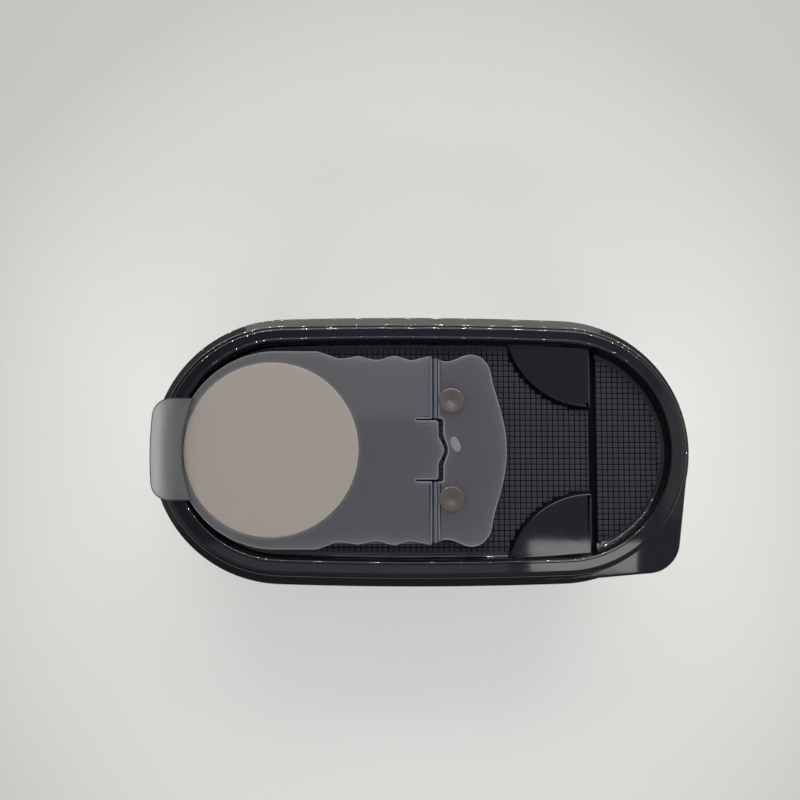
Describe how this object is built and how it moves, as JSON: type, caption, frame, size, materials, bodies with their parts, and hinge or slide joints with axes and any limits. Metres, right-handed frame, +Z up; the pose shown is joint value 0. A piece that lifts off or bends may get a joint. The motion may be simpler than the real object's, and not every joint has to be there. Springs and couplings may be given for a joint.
{
  "type": "flip-top storage container",
  "caption": "Oval pantry storage container with a push-on seal lid and a flip-up pour flap.",
  "frame": {"origin": "centre of the tub's flat underside, on the plane it stands on", "axes": "+Z up through the lid, +X along the length towards the end with the lift tab, +Y across"},
  "size_m": [0.196, 0.098, 0.1138],
  "materials": {
    "tub_plastic": "translucent natural polypropylene, satin",
    "lid_plastic": "polished black, with a fine square grain on the recess floor",
    "flap_plastic": "frosted translucent grey, fine spark-eroded texture",
    "plug_plastic": "satin natural, warm grey"
  },
  "bodies": {
    "container": {"container_tub": "tub_plastic"},
    "lid": {"lid_shell": "lid_plastic", "flap_anchor": "flap_plastic", "living_hinge_web": "flap_plastic", "anchor_studs": "plug_plastic"},
    "flap": {"flap_door": "flap_plastic", "pour_plug": "plug_plastic"}
  },
  "joints": [
    {"name": "lid_lift", "type": "slide", "parent": "container", "child": "lid", "axis": [0, 0, 1], "range_m": [0, 0.06]},
    {"name": "flap_hinge", "type": "hinge", "parent": "lid", "child": "flap", "pos_m": [0.004, 0, 0.111], "axis": [0, 1, 0], "range_deg": [0, 160]}
  ]
}
